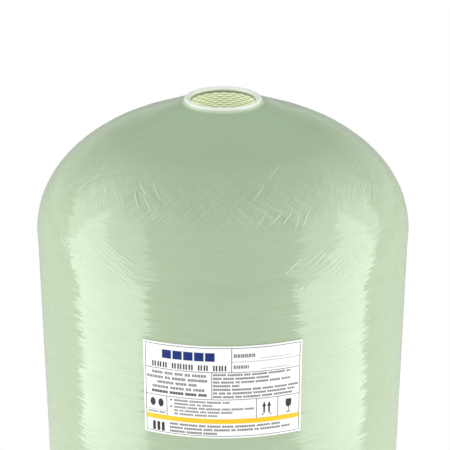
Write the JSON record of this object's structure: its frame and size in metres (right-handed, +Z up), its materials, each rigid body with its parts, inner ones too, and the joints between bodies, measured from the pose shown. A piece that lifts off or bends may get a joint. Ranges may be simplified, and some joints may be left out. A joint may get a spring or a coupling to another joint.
{
  "type": "filter tank",
  "caption": "Tall pale green fibreglass-wound pressure vessel with domed ends, a threaded top opening, a plastic liner and a ribbed black foot.",
  "frame": {"origin": "on the floor, at the middle of the foot, on the vessel's axis", "axes": "+Z up along the vessel's axis to the neck, -Y to the front, where the label is"},
  "size_m": [0.3514, 0.3514, 1.13],
  "materials": {
    "wound_glass_fibre": "glossy cured resin over glass rovings, pale green",
    "natural_polythene": "moulded, waxy, natural colour",
    "moulded_neck": "smooth moulded, pale green",
    "moulded_thread": "moulded, yellowish",
    "moulded_black": "moulded black, satin",
    "white_vinyl": "printed white vinyl"
  },
  "bodies": {
    "root": {"wound_shell": "wound_glass_fibre", "inner_liner": "natural_polythene", "neck_collar": "moulded_neck", "threaded_bush": "moulded_thread", "foot": "moulded_black", "label": "white_vinyl"}
  },
  "joints": []
}
